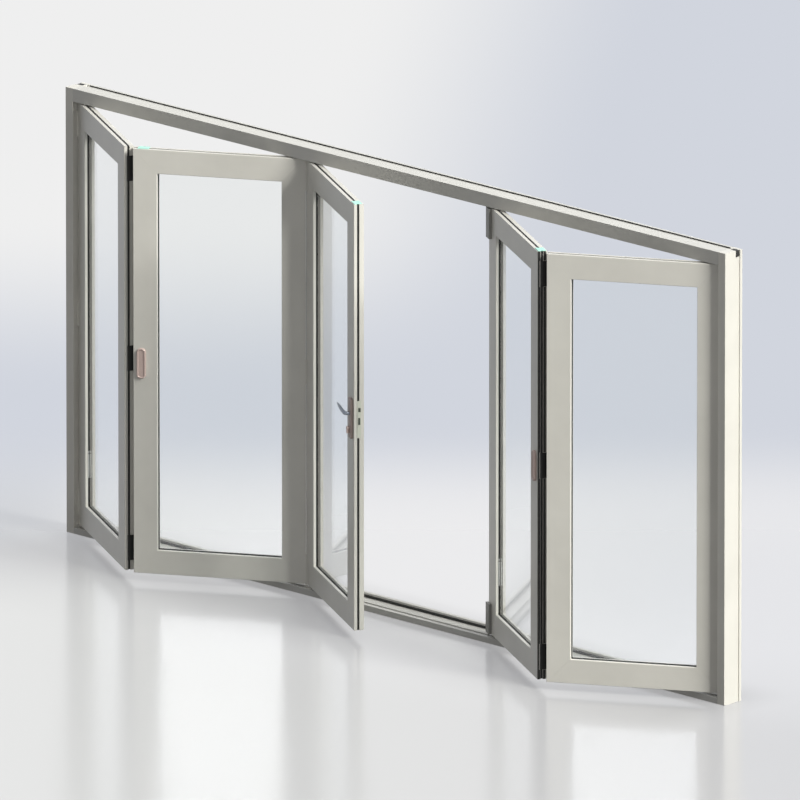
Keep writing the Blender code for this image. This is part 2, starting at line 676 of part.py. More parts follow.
def build():
    """Make the whole door."""
    clear_scene()
    materials = {
        "paint": make_material("warm_white_powder_coat", (0.62, 0.61, 0.56), 0.45),
        "glass": make_material("clear_glass", (0.90, 0.93, 0.92), 0.02, transmission=1.0),
        "rubber": make_material("black_rubber", (0.012, 0.012, 0.011), 0.6),
        "hinge": make_material("painted_hinge", (0.40, 0.40, 0.38), 0.4),
        "black": make_material("black_hinge", (0.015, 0.015, 0.014), 0.4),
        "lever": make_material("satin_nickel", (0.50, 0.51, 0.54), 0.3, metallic=1.0),
        "plate": make_material("bronze_plate", (0.33, 0.24, 0.22), 0.4, metallic=0.3),
        "cap": make_material("mint_cap", (0.50, 0.85, 0.72), 0.5),
    }
    paint = materials["paint"]
    make_jamb("frame_left_jamb", -1, paint)
    make_jamb("frame_right_jamb", 1, paint)
    head = stop_profile(HEAD_HEIGHT, HEAD_HEIGHT + STOP_LIP, track_slot())
    make_crosspiece("frame_head", head, FRAME_HEIGHT, -1, paint)
    sill = stop_profile(SILL_HEIGHT, SILL_STOP_HEIGHT, guide_groove())
    make_crosspiece("frame_sill", sill, 0.0, 1, paint)

    panels, axes = place_panels()
    empties = [make_panel(i + 1, p.origin, p.turn, materials) for i, p in enumerate(panels)]
    make_hardware(panels, axes, materials)
    make_pull("left_pull", empties[1], HANDLE_EDGE_DISTANCE, materials["plate"])
    make_pull("right_pull", empties[3], PANEL_WIDTH - HANDLE_EDGE_DISTANCE, materials["plate"])
    make_lock_stile_fittings(empties[2], materials)
    far = PANEL_WIDTH - TOP_CAP_MARGIN - TOP_CAP_LENGTH
    for number, start in ((2, TOP_CAP_INSET), (3, far), (4, far)):
        make_top_cap(number, empties[number - 1], start, materials["cap"])


build()
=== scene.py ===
# %% [markdown]
# # A folding glass door, dressed for its picture
# The frame, panels, glass and hinges come in as finished solids. This lesson gives them their
# finishes, adds the thin trim that the solids leave out, and sets up the floor, the light and the
# camera. Sizes are metres, and every pattern's scale is worked out from millimetres.

# %% Load the frame
import json
import math

import bpy
import numpy as np
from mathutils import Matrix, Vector


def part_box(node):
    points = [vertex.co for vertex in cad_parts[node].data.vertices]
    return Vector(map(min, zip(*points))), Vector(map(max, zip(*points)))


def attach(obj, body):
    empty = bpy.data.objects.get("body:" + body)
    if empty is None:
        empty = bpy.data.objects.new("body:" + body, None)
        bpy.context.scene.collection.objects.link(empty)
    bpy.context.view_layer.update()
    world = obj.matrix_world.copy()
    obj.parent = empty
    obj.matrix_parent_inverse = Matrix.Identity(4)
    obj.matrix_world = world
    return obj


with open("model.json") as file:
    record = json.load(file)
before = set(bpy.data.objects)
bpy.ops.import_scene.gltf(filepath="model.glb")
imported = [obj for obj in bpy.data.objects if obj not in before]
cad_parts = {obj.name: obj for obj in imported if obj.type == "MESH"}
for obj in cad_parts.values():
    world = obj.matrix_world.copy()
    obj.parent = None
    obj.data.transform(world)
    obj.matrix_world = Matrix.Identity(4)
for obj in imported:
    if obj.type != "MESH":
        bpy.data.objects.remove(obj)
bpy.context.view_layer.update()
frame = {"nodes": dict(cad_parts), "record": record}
NODES = frame["nodes"]

# %% [markdown]
# ## Small helpers
# Colours are written as the hex values that a paint card or an image editor shows. A shader works
# in linear light, so one function turns them. Materials are built node by node. Written out in
# full that takes pages, so one function adds a node with its settings and its links.

# %% Colours and nodes
MM = 0.001


def linear(hex_code):
    """sRGB to linear light: c / 12.92 near black, and ((c + 0.055) / 1.055) to the power 2.4 above."""
    parts = [int(hex_code[i:i + 2], 16) / 255 for i in (1, 3, 5)]
    return (*(c / 12.92 if c <= 0.04045 else ((c + 0.055) / 1.055) ** 2.4 for c in parts), 1.0)


def add(tree, kind, links=None, **settings):
    """Adds a node. Links maps an input to a value or to another node's output socket."""
    node = tree.nodes.new(kind)
    for name, value in settings.items():
        setattr(node, name, value)
    for socket, value in (links or {}).items():
        if isinstance(value, bpy.types.NodeSocket):
            tree.links.new(value, node.inputs[socket])
        else:
            node.inputs[socket].default_value = value
    return node


def new_material(name):
    """An empty node material with its output, ready for a shader."""
    material = bpy.data.materials.new(name)
    material.use_nodes = True
    material.node_tree.nodes.clear()
    output = add(material.node_tree, "ShaderNodeOutputMaterial")
    return material, material.node_tree, output.inputs["Surface"]


def ramp(tree, factor, stops):
    """A colour ramp: each stop is a position and a colour."""
    node = add(tree, "ShaderNodeValToRGB", {"Fac": factor})
    elements = node.color_ramp.elements
    while len(elements) < len(stops):
        elements.new(0.5)
    for element, (position, colour) in zip(elements, stops):
        element.position, element.color = position, colour
    return node.outputs["Color"]


def combined(tree, operation, first, second):
    """Two numbers combined by an arithmetic operation."""
    return add(tree, "ShaderNodeMath", {0: first, 1: second}, operation=operation).outputs["Value"]


def blend_colour(tree, factor, first, second):
    """A mix of two colours, each a hex code or a socket."""
    values = [linear(c) if isinstance(c, str) else c for c in (first, second)]
    node = add(tree, "ShaderNodeMix", data_type="RGBA")
    for socket, value in zip((node.inputs[0], node.inputs[6], node.inputs[7]), (factor, *values)):
        if isinstance(value, bpy.types.NodeSocket):
            tree.links.new(value, socket)
        else:
            socket.default_value = value
    return node.outputs[2]


print("the grey #808080 is", round(linear("#808080")[0], 3), "in linear light")

# %% [markdown]
# ## Powder-coated aluminium
# The frame and the sashes are aluminium sections, sprayed with a warm white powder and baked. The
# powder melts to a satin skin with a faint orange peel a couple of millimetres across, which
# breaks up the highlight more than it shows by itself. One plain colour would look like moulded
# plastic, so two close tints run into each other on a slow noise, and a fine noise lifts the skin.
# The head and the sill get darker copies of the coat than the panels, as painted shade.

# %% Powder coat
PEEL_MM = 2.2
PEEL_DEPTH_MM = 0.1
BLOTCH_MM = 260.0


def powder_coat(name, light, dark, rough):
    """Two close tints on a slow noise, and a fine peel in the bump."""
    material, tree, surface = new_material(name)
    place = add(tree, "ShaderNodeTexCoord").outputs["Object"]
    blotch = add(tree, "ShaderNodeTexNoise",
                 {"Vector": place, "Scale": 1 / (BLOTCH_MM * MM), "Detail": 3.0, "Roughness": 0.6})
    peel = add(tree, "ShaderNodeTexNoise",
               {"Vector": place, "Scale": 1 / (PEEL_MM * MM), "Detail": 2.0, "Roughness": 0.5})
    colour = ramp(tree, blotch.outputs["Fac"], [(0.35, linear(dark)), (0.65, linear(light))])
    gloss = add(tree, "ShaderNodeMapRange",
                {"Value": peel.outputs["Fac"], "To Min": rough - 0.03, "To Max": rough + 0.05})
    bump = add(tree, "ShaderNodeBump",
               {"Height": peel.outputs["Fac"], "Strength": 0.10, "Distance": PEEL_DEPTH_MM * MM})
    shader = add(tree, "ShaderNodeBsdfPrincipled",
                 {"Base Color": colour, "Roughness": gloss.outputs["Result"], "IOR": 1.5,
                  "Normal": bump.outputs["Normal"]})
    tree.links.new(shader.outputs["BSDF"], surface)
    return material


WHITE_COAT = powder_coat("satin_powder_coat_warm_white", "#DCDAD3", "#D6D4CD", 0.34)
# Darker copies of the white coat, which paint shade onto the head and the sill
HEAD_SHADE_COAT = powder_coat("white_coat_painted_head_shade", "#CFCEC9", "#C9C8C3", 0.36)
SILL_SHADE_COAT = powder_coat("white_coat_painted_sill_shade", "#C6C5C1", "#BFBEBA", 0.38)
print("powder coats:", WHITE_COAT.name, HEAD_SHADE_COAT.name, SILL_SHADE_COAT.name)

# %% [markdown]
# ## Gasket rubber
# The glazing gaskets and the weather seals are extruded black rubber. It is matt, never quite
# black, and a little grey bloom sits on it in patches. Pure black would swallow the form of a
# seal, so the shader mixes a deep and a bloomed tint on a noise.

# %% Rubber
BLOOM_MM = 18.0


def rubber(name, deep, bloom):
    """Near black with a faint bloom, rough all over."""
    material, tree, surface = new_material(name)
    place = add(tree, "ShaderNodeTexCoord").outputs["Object"]
    cloud = add(tree, "ShaderNodeTexNoise",
                {"Vector": place, "Scale": 1 / (BLOOM_MM * MM), "Detail": 4.0, "Roughness": 0.65})
    colour = ramp(tree, cloud.outputs["Fac"], [(0.40, linear(deep)), (0.75, linear(bloom))])
    shader = add(tree, "ShaderNodeBsdfPrincipled",
                 {"Base Color": colour, "Roughness": 0.62, "IOR": 1.52})
    tree.links.new(shader.outputs["BSDF"], surface)
    return material


BLACK_RUBBER = rubber("extruded_gasket_rubber_black", "#161614", "#262622")
print("rubber:", BLACK_RUBBER.name, "with patches of bloom", BLOOM_MM, "mm wide")

# %% [markdown]
# ## Float glass
# A thin pane shifts what is behind it by less than its own thickness, so the light goes straight
# through. A refracting shader would bend it and need many more samples for the same picture. What
# shows is the reflection. Schlick's formula gives its share: 4 parts in a hundred face on, and
# with f the facing weight that grows to one at a grazing angle, share = 0.04 + 0.96 f^5. Light that
# casts shadows passes straight through.

# %% Glass
RIPPLE_MM = 900.0
RIPPLE_DEPTH_MM = 0.2
FACE_ON = 0.04


def float_glass(name, tint, gloss_tint):
    """Clear straight through, mixed with a mirror by the viewing angle."""
    material, tree, surface = new_material(name)
    place = add(tree, "ShaderNodeTexCoord").outputs["Object"]
    ripple = add(tree, "ShaderNodeTexNoise",
                 {"Vector": place, "Scale": 1 / (RIPPLE_MM * MM), "Detail": 1.0})
    bump = add(tree, "ShaderNodeBump",
               {"Height": ripple.outputs["Fac"], "Strength": 0.02, "Distance": RIPPLE_DEPTH_MM * MM})
    in_shadow = add(tree, "ShaderNodeLightPath").outputs["Is Shadow Ray"]
    clear = add(tree, "ShaderNodeBsdfTransparent", {"Color": linear(tint)})
    mirror = add(tree, "ShaderNodeBsdfGlossy",
                 {"Color": linear(gloss_tint), "Roughness": 0.01, "Normal": bump.outputs["Normal"]})
    facing = add(tree, "ShaderNodeLayerWeight", {"Blend": 0.5}).outputs["Facing"]
    power = combined(tree, "POWER", facing, 5.0)
    share = add(tree, "ShaderNodeMath", {0: power, 1: 1 - FACE_ON, 2: FACE_ON},
                operation="MULTIPLY_ADD").outputs["Value"]
    share = combined(tree, "MULTIPLY", share, combined(tree, "SUBTRACT", 1.0, in_shadow))
    mix = add(tree, "ShaderNodeMixShader",
              {0: share, 1: clear.outputs["BSDF"], 2: mirror.outputs["BSDF"]})
    tree.links.new(mix.outputs["Shader"], surface)
    return material


GLASS = float_glass("clear_float_glass", "#FBFCFC", "#FFFFFF")
print("glass mirrors", round(100 * FACE_ON), "parts in a hundred face on")

# %% [markdown]
# ## Metal fittings
# The carriers are die-cast and painted grey, and the hinges between folding panels black. The lever
# and the lock's faceplate are plated with satin nickel, so fine hairlines run along them. The plate
# and the pulls are lacquered in a dull rose bronze. The caps on the panels are moulded in mint
# plastic. One function makes the metals: a stretched grain gives hairlines, and an even one gives
# paint and mouldings.

# %% Metals
GRAIN_MM = 0.8
GRAIN_DEPTH_MM = 0.05
EVEN, UPRIGHT, LONG = (1.0, 1.0, 1.0), (1.0, 1.0, 0.08), (1.0, 1.0, 0.15)


def brushed_metal(name, base, shade, metallic, rough, stretch):
    """Fine grain stretched along one direction, in the colour and in the roughness."""
    material, tree, surface = new_material(name)
    place = add(tree, "ShaderNodeTexCoord").outputs["Object"]
    turned = add(tree, "ShaderNodeMapping", {"Vector": place, "Scale": stretch})
    grain = add(tree, "ShaderNodeTexNoise",
                {"Vector": turned.outputs["Vector"], "Scale": 1 / (GRAIN_MM * MM), "Detail": 2.0})
    colour = ramp(tree, grain.outputs["Fac"], [(0.3, linear(shade)), (0.7, linear(base))])
    gloss = add(tree, "ShaderNodeMapRange",
                {"Value": grain.outputs["Fac"], "To Min": rough - 0.05, "To Max": rough + 0.07})
    bump = add(tree, "ShaderNodeBump",
               {"Height": grain.outputs["Fac"], "Strength": 0.08, "Distance": GRAIN_DEPTH_MM * MM})
    shader = add(tree, "ShaderNodeBsdfPrincipled",
                 {"Base Color": colour, "Metallic": metallic, "Roughness": gloss.outputs["Result"],
                  "Normal": bump.outputs["Normal"]})
    tree.links.new(shader.outputs["BSDF"], surface)
    return material


HINGE_GREY = brushed_metal("painted_die_cast_grey", "#8D8D88", "#83837F", 0.0, 0.42, EVEN)
NICKEL = brushed_metal("satin_nickel_plate", "#8E939B", "#7E838C", 1.0, 0.30, UPRIGHT)
BRONZE = brushed_metal("lacquered_rose_bronze", "#AE9E98", "#A3918B", 0.15, 0.42, LONG)
BLACK_METAL = brushed_metal("black_hinge_paint", "#232321", "#1C1C1A", 0.0, 0.40, EVEN)
PALE_NICKEL = brushed_metal("pale_nickel_faceplate", "#D6D8CC", "#CBCEC0", 0.35, 0.36, UPRIGHT)
BOLT_METAL = brushed_metal("oiled_bolt_steel", "#5E635A", "#4C514A", 1.0, 0.35, UPRIGHT)
PULL_METAL = brushed_metal("pale_rose_lacquer", "#CDB9B2", "#C3ADA6", 0.10, 0.42, LONG)
CLIP_PLASTIC = brushed_metal("pale_moulded_clip", "#CFD0CF", "#C6C7C6", 0.0, 0.45, EVEN)
MINT = powder_coat("moulded_mint_plastic", "#B4F0E2", "#A8E8D8", 0.30)
print(len(bpy.data.materials), "materials so far")

# %% [markdown]
# ## Finishes on the solids
# The record names the finish of every solid, so a table from those names to the materials dresses
# them all. It could be a line for each solid, but then a new solid would stay bare. Five solids
# differ from the rest of their kind and are set by name.

# %% Finishes on the solids
FINISH = {"powder_coat": WHITE_COAT, "clear_glass": GLASS, "black_rubber": BLACK_RUBBER,
          "hinge_metal": HINGE_GREY, "black_hinge": BLACK_METAL, "satin_nickel": NICKEL,
          "bronze_plate": BRONZE, "mint_cap": MINT}
for part in frame["record"]["subparts"]:
    for place in NODES[part["node"]].material_slots:
        place.material = FINISH[part["material_slot"]]
# The head and the sill take the coats with painted shade
OWN_FINISH = {"lock_faceplate": PALE_NICKEL, "left_pull": PULL_METAL, "right_pull": PULL_METAL,
              "frame_head": HEAD_SHADE_COAT, "frame_sill": SILL_SHADE_COAT}
for name, material in OWN_FINISH.items():
    for place in NODES[name].material_slots:
        place.material = material

# %% [markdown]
# ## Where each panel stands
# The trim on a folded panel is easiest to place in the panel's own directions: u along it, v back
# through it and z up. The fold angle could be typed in, but a direction measured on the solids
# stays right if they change. The pane of glass is a plain slab, so its longest side in plan gives u.

# %% Panel directions
def node_points(name):
    """Every vertex of a node as rows of x, y and z."""
    mesh = NODES[name].data
    points = np.empty(len(mesh.vertices) * 3)
    mesh.vertices.foreach_get("co", points)
    return points.reshape(-1, 3)


SASH_SIDES = ("left_stile", "right_stile", "top_rail", "bottom_rail")


class PanelFrame:
    """The directions of one panel, and the box of its sash measured along them."""

    def __init__(self, number):
        plan = node_points(f"panel_{number}_glass")[:, :2]
        centred = plan - plan.mean(0)
        self.along = np.linalg.svd(centred, full_matrices=False)[2][0]
        self.along *= math.copysign(1.0, self.along[0])
        self.back = np.array([-self.along[1], self.along[0]])
        local = np.vstack([self.local(node_points(f"panel_{number}_{side}")) for side in SASH_SIDES])
        self.low, self.high = local.min(0), local.max(0)

    def local(self, points):
        """Row frame to panel directions, by dot products."""
        return np.column_stack([points[:, :2] @ self.along, points[:, :2] @ self.back, points[:, 2]])

    def place(self, points):
        """Points measured from the sash's front left bottom corner, laid in the row frame."""
        points = points + self.low
        plan = points[..., :1] * self.along + points[..., 1:2] * self.back
        return np.concatenate([plan, points[..., 2:]], axis=-1)


PANELS = {number: PanelFrame(number) for number in range(1, 6)}
for number, panel in PANELS.items():
    size = panel.high - panel.low
    print("panel", number, "is", np.round(size / MM, 1), "mm")

# %% [markdown]
# ## How the trim is made
# Every seal, clip and bolt is a sweep: one outline carried through a run of places. A straight bar
# has two places, and a mitred ring has four and joins up with itself. Blender's curves could do it
# too, but arrays keep the mitres sharp and the place in the mesh. The solid's volume is the sum
# over its faces of centre times normal times area, over three. Where it comes out negative the
# faces point inwards, and all are turned.

# %% Sweeps
def sweep_object(name, loops, material, closed=False, bevel=0.0):
    """A closed body through loops of points: loops by points by 3. Point i of a loop joins point i
    of the next loop, and each loop joins up with itself."""
    count, width = loops.shape[:2]
    index = np.arange(count * width).reshape(count, width)
    first = index if closed else index[:-1]
    second = np.roll(index, -1, axis=0) if closed else index[1:]
    quads = np.stack([first, np.roll(first, -1, axis=1), np.roll(second, -1, axis=1), second], axis=-1)
    faces = quads.reshape(-1, 4).tolist()
    if not closed:
        faces += [index[0, ::-1].tolist(), index[-1].tolist()]
    mesh = bpy.data.meshes.new(name)
    mesh.from_pydata(loops.reshape(-1, 3).tolist(), [], faces)
    sizes = {"center": 3, "normal": 3, "area": 1}
    measured = {key: np.empty(len(faces) * size) for key, size in sizes.items()}
    for key, values in measured.items():
        mesh.polygons.foreach_get(key, values)
    flow = (measured["center"] * measured["normal"]).reshape(-1, 3).sum(1) * measured["area"]
    if flow.sum() < 0:
        mesh.flip_normals()
    mesh.materials.append(material)
    obj = bpy.data.objects.new(name, mesh)
    bpy.context.scene.collection.objects.link(obj)
    if bevel:
        rounding = obj.modifiers.new("rounding", "BEVEL")
        rounding.width, rounding.segments, rounding.limit_method = bevel, 2, "ANGLE"
    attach(obj, "root")


def bar(outline, axis, start, end):
    """Loops of a straight bar. The outline fills the two directions other than the axis."""
    outline = np.asarray(outline, float)
    loops = np.empty((2, len(outline), 3))
    loops[..., [i for i in range(3) if i != axis]] = outline
    loops[..., axis] = np.array([[start], [end]])
    return loops


def rectangle(low, high):
    """The four corners of an outline, from its lowest and highest point."""
    return [(low[0], low[1]), (high[0], low[1]), (high[0], high[1]), (low[0], high[1])]


def mitred_ring(profile, low, high):
    """Loops of a ring in the u-z plane. A profile point is (inset, v), and at each corner the inset
    runs inwards along both sides, which makes the mitre."""
    inset, depth = np.asarray(profile, float).T
    corners = np.array([(low[0], low[1], 1, 1), (high[0], low[1], -1, 1),
                        (high[0], high[1], -1, -1), (low[0], high[1], 1, -1)])
    u, z = (corners[:, [i]] + corners[:, [i + 2]] * inset for i in (0, 1))
    return np.stack([u, np.broadcast_to(depth, u.shape), z], axis=-1)


# %% [markdown]
# ## Weather seals
# A rubber section is pressed into the groove round the edge of every panel. It shows as a black
# line along the tops and the free edges. Behind each pane a thin liner covers the joint between
# the gasket and the sash. A bulb seal lies on the stop, all the way round the outer frame, where
# the closed panels press on it. Each is one mitred ring, because a real one runs round unbroken,
# and four bars would leave gaps in the corners.

# %% Edge seals
# Each point of an outline: how far in from the panel's edge and how far back from its front, in mm
EDGE_SEAL_MM = [(1.6, 15.3), (0.7, 16.6), (2.6, 18.2), (2.6, 22.4), (0.7, 24.0), (1.6, 25.2),
                (11.4, 25.2), (11.4, 15.3)]
for number, panel in PANELS.items():
    width, _, height = panel.high - panel.low
    loops = mitred_ring(np.array(EDGE_SEAL_MM) * MM, (0.0, 0.0), (width, height))
    sweep_object(f"panel_{number}_edge_seal", panel.place(loops), BLACK_RUBBER,
                 closed=True)
print(len(PANELS), "edge seals")

# %% Back liners
MEMBER_MM = 112.0
LINER_MM = [(0.1, 28.2), (1.5, 28.2), (1.5, 33.0), (0.1, 34.2)]
edge = MEMBER_MM * MM
for number, panel in PANELS.items():
    width, _, height = panel.high - panel.low
    loops = mitred_ring(np.array(LINER_MM) * MM, (edge, edge), (width - edge, height - edge))
    sweep_object(f"panel_{number}_back_liner", panel.place(loops), BLACK_RUBBER,
                 closed=True)
print(len(PANELS), "liners", MEMBER_MM, "mm in from the panels' edges")

# %% Stop seal
STOP_SEAL_MM = [(1.5, -0.3), (1.5, -2.0), (4.0, -3.6), (9.0, -4.0), (11.5, -2.6), (12.5, -0.3)]
STOP_DEPTH_MM = 93.0
STOP_LIP_MM = 15.0
SILL_RISE_MM = 22.0
jamb_low, jamb_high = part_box("frame_left_jamb"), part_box("frame_right_jamb")
head_low, sill_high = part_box("frame_head")[0].z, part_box("frame_sill")[1].z
front_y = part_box("frame_head")[0].y
loops = mitred_ring(np.array(STOP_SEAL_MM) * MM,
                    (jamb_low[1].x - STOP_LIP_MM * MM, sill_high - SILL_RISE_MM * MM),
                    (jamb_high[0].x + STOP_LIP_MM * MM, head_low + STOP_LIP_MM * MM))
loops[..., 1] += front_y + STOP_DEPTH_MM * MM
sweep_object("frame_stop_seal", loops, BLACK_RUBBER, closed=True)
print("the stop's seal lies", STOP_DEPTH_MM, "mm behind the frame's front")

# %% [markdown]
# ## Painted shade in the fold and on the head
# Where panel 4 folds against panel 5, dark rubber strips run along its edge. The foremost is in
# one length and is painted shade alone: it darkens the edge where panel 5 shades it. The others
# stand for seals, deepen that shade too, and are cut at the hinges. A thin dark strip stands in the
# channel on top of the head and paints the shade along the channel's back, and a dark rubber block
# in the end of the channel in each jamb paints the shade down in that pocket. They are straight,
# so each is a bar of two loops, cut where the solids leave room.

# %% Fold shade strips
# Each strip: front edge, back edge, and whether it runs past the hinges, in mm
FOLD_SHADE_STRIPS_MM = [(0.8, 8.2, True), (8.9, 13.2, False), (27.5, 38.5, False)]
STRIP_THICK_MM = 1.2
HINGE_CLEAR_MM = 2.0
fold = PANELS[4]
fold_width, _, fold_height = fold.high - fold.low
hinge_boxes = [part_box(f"right_fold_hinge_{place}") for place in ("lower", "middle", "upper")]
clear = HINGE_CLEAR_MM * MM
cuts = [z - fold.low[2] for low, high in hinge_boxes for z in (low.z - clear, high.z + clear)]
ends = [0.0] + cuts + [fold_height]
# Dark strips on panel 4's fold edge paint the shade that panel 5 throws there; the foremost is shade alone,
# the others are seals as well
for i, (front, back, whole) in enumerate(FOLD_SHADE_STRIPS_MM, 1):
    outline = rectangle((fold_width, front * MM), (fold_width + STRIP_THICK_MM * MM, back * MM))
    spans = [(0.0, fold_height)] if whole else zip(ends[::2], ends[1::2])
    for j, (bottom, top) in enumerate(spans, 1):
        sweep_object(f"panel_4_fold_strip_{i}_{j}", fold.place(bar(outline, 2, bottom, top)),
                     BLACK_RUBBER)
print("fold strips stop", HINGE_CLEAR_MM, "mm short of", len(hinge_boxes), "hinges")

# %% Shade strip and plugs in the channel
# Back from the frame's front and down from its top, in mm
CHANNEL_SHADE_BACK_MM, CHANNEL_SHADE_DOWN_MM = (94.6, 96.7), (0.6, 5.7)
POCKET_SHADE_BACK_MM, POCKET_SHADE_DOWN_MM = (68.6, 92.4), (1.2, 29.0)
POCKET_SHADE_IN_MM = (38.0, 0.8)
JAMB_INSET_MM = 1.0
RUBBER_EDGE = 0.4 * MM
frame_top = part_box("frame_head")[1].z
# A dark strip in the head's channel: painted shade along the channel's back
outline = rectangle((front_y + CHANNEL_SHADE_BACK_MM[0] * MM, frame_top - CHANNEL_SHADE_DOWN_MM[1] * MM),
                    (front_y + CHANNEL_SHADE_BACK_MM[1] * MM, frame_top - CHANNEL_SHADE_DOWN_MM[0] * MM))
loops = bar(outline, 0, jamb_low[1].x + JAMB_INSET_MM * MM, jamb_high[0].x - JAMB_INSET_MM * MM)
sweep_object("head_channel_shade_strip", loops, BLACK_RUBBER)
# Dark rubber blocks in the channel's ends in the jambs: painted shade down in the pockets
outline = rectangle((front_y + POCKET_SHADE_BACK_MM[0] * MM, frame_top - POCKET_SHADE_DOWN_MM[1] * MM),
                    (front_y + POCKET_SHADE_BACK_MM[1] * MM, frame_top - POCKET_SHADE_DOWN_MM[0] * MM))
for side, face, inwards in (("left", jamb_low[0].x, 1.0), ("right", jamb_high[1].x, -1.0)):
    start, end = (face + inwards * inset * MM for inset in POCKET_SHADE_IN_MM)
    sweep_object(f"{side}_pocket_shade_plug", bar(outline, 0, start, end), BLACK_RUBBER,
                 bevel=RUBBER_EDGE)
print("the head's top is at", round(frame_top, 3), "m")

# %% [markdown]
# ## Glazing clips
# On the first panel and the fourth a pale moulded clip, about 113 mm long, sits in the glazing
# groove of the left stile, 135 mm above the bottom rail, one half on each side of the glass. A
# short lug stands over it. A bar with its edges rounded is all that shows of it at this distance.

# %% Clips
CLIP_FOOT_MM = 247.0
CLIP_LENGTH_MM = 113.0
LUG_MM = 10.0
CLIP_GAP_MM = 4.0
CLIP_INSET_MM = (MEMBER_MM + 1.2, MEMBER_MM + 3.4)
CLIP_DEPTHS_MM = {"front": (14.2, 17.4), "back": (24.1, 27.6)}
CLIP_EDGE = 0.4 * MM
CLIPPED = (1, 4)
for number in CLIPPED:
    foot = CLIP_FOOT_MM
    for piece, length in (("clip", CLIP_LENGTH_MM), ("clip_lug", LUG_MM)):
        for side, (front, back) in CLIP_DEPTHS_MM.items():
            outline = np.array(rectangle((CLIP_INSET_MM[0], front), (CLIP_INSET_MM[1], back))) * MM
            loops = PANELS[number].place(bar(outline, 2, foot * MM, (foot + length) * MM))
            sweep_object(f"panel_{number}_{side}_{piece}", loops, CLIP_PLASTIC,
                         bevel=CLIP_EDGE)
        foot += length + CLIP_GAP_MM
print("clips on panels", *CLIPPED)

# %% [markdown]
# ## Lock
# The faceplate in the edge of the swing panel has a spring latch near its top and a square bolt
# under it. A profile cylinder comes through the plate under the lever. Its outline is like a
# keyhole, most of a circle with a rounded tail below, so it is worked out as one line of points and
# swept as a bar. The latch is a bar whose far end is cut on a slope, which lets a closing door push
# it in.

# %% Latch and bolt
plate_low, plate_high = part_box("lock_faceplate")
swing = PANELS[3]
swing_width = swing.high[0] - swing.low[0]
plate_middle = (plate_low.z + plate_high.z) / 2 - swing.low[2]
# How far the faceplate's front stands out of the panel's edge, and the bolts' gap in front of it
PLATE_PROUD_MM, BOLT_CLEAR_MM = 2.8, 0.2
LOCK_MIDDLE_MM = 24.0
LATCH_SLOPE_MM = 5.0
BOLT_EDGE = 0.4 * MM
face_u = swing_width + (PLATE_PROUD_MM + BOLT_CLEAR_MM) * MM
v_middle = LOCK_MIDDLE_MM * MM
# Each bolt: name, height over the plate's middle, half height, half width, reach, all in mm
BOLTS = [("latch", 46.0, 9.0, 4.5, 9.0), ("dead_bolt", -8.0, 16.0, 4.5, 3.0)]
for name, rise, half_z, half_v, reach in BOLTS:
    low = (v_middle - half_v * MM, plate_middle + (rise - half_z) * MM)
    high = (v_middle + half_v * MM, plate_middle + (rise + half_z) * MM)
    loops = bar(rectangle(low, high), 0, face_u, face_u + reach * MM)
    if name == "latch":
        loops[1, :, 1] += np.where(loops[1, :, 1] > v_middle, 0.0, LATCH_SLOPE_MM * MM)
    sweep_object(f"lock_{name}", swing.place(loops), BOLT_METAL, bevel=BOLT_EDGE)
print(len(BOLTS), "bolts round", round(plate_middle, 3), "m up the panel")

# %% Profile cylinder
CYLINDER_RADIUS, TAIL_HALF = 8.5 * MM, 5.0 * MM
CYLINDER_DROP = 60.0 * MM
TAIL_DROP = 19.5 * MM
CYLINDER_REACH = 13.0 * MM
CYLINDER_EDGE = 0.5 * MM
BARREL_POINTS, TAIL_POINTS = 25, 11
plate_points = swing.local(node_points("outer_backplate")) - swing.low
cylinder_u = (plate_points[:, 0].min() + plate_points[:, 0].max()) / 2
cylinder_z = swing.local(node_points("outer_lever"))[:, 2].min() - swing.low[2] - CYLINDER_DROP
plate_face = plate_points[:, 1].min()
start = math.acos(TAIL_HALF / CYLINDER_RADIUS)
barrel = np.linspace(-start, math.pi + start, BARREL_POINTS)
tail = np.linspace(math.pi, 2 * math.pi, TAIL_POINTS)
outline = np.concatenate([CYLINDER_RADIUS * np.column_stack([np.cos(barrel), np.sin(barrel)]),
                          TAIL_HALF * np.column_stack([np.cos(tail), np.sin(tail)]) - (0.0, TAIL_DROP)])
loops = bar(outline + (cylinder_u, cylinder_z), 1, plate_face - CYLINDER_REACH, plate_face)
sweep_object("profile_cylinder", swing.place(loops), PULL_METAL, bevel=CYLINDER_EDGE)
print("cylinder", round(cylinder_z, 3), "m up the panel")

# %% [markdown]
# ## Camera
# The picture was taken from the front right, from far away through a long lens, so that parallel
# edges stay parallel. An orthographic camera would do the same, but a long lens is what a
# photographer has. The aim is a little off the door's middle, as in the picture.

# %% Camera
AZIMUTH = math.radians(43.972)
ELEVATION = math.radians(15.583)
DISTANCE = 165.42
LENS = 1650.0
AIM_RIGHT, AIM_UP = 0.0330, -0.0260
SENSOR = 36.0
NEAR, FAR = 10.0, 400.0

right = Vector((math.cos(AZIMUTH), math.sin(AZIMUTH), 0.0))
forward = Vector((-math.sin(AZIMUTH) * math.cos(ELEVATION), math.cos(AZIMUTH) * math.cos(ELEVATION),
                  -math.sin(ELEVATION)))
upward = right.cross(forward)
middle = Vector((0.0, front_y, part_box("frame_head")[1].z / 2))
aim = middle + right * AIM_RIGHT + upward * AIM_UP

camera_data = bpy.data.cameras.new("camera")
camera = bpy.data.objects.new("camera", camera_data)
bpy.context.scene.collection.objects.link(camera)
bpy.context.scene.camera = camera
camera_data.lens = LENS
camera_data.sensor_width = SENSOR
camera_data.clip_start, camera_data.clip_end = NEAR, FAR
camera.location = aim - forward * DISTANCE
camera.rotation_euler = forward.to_track_quat("-Z", "Y").to_euler()
print("camera at", np.round(tuple(camera.location), 1), "m")

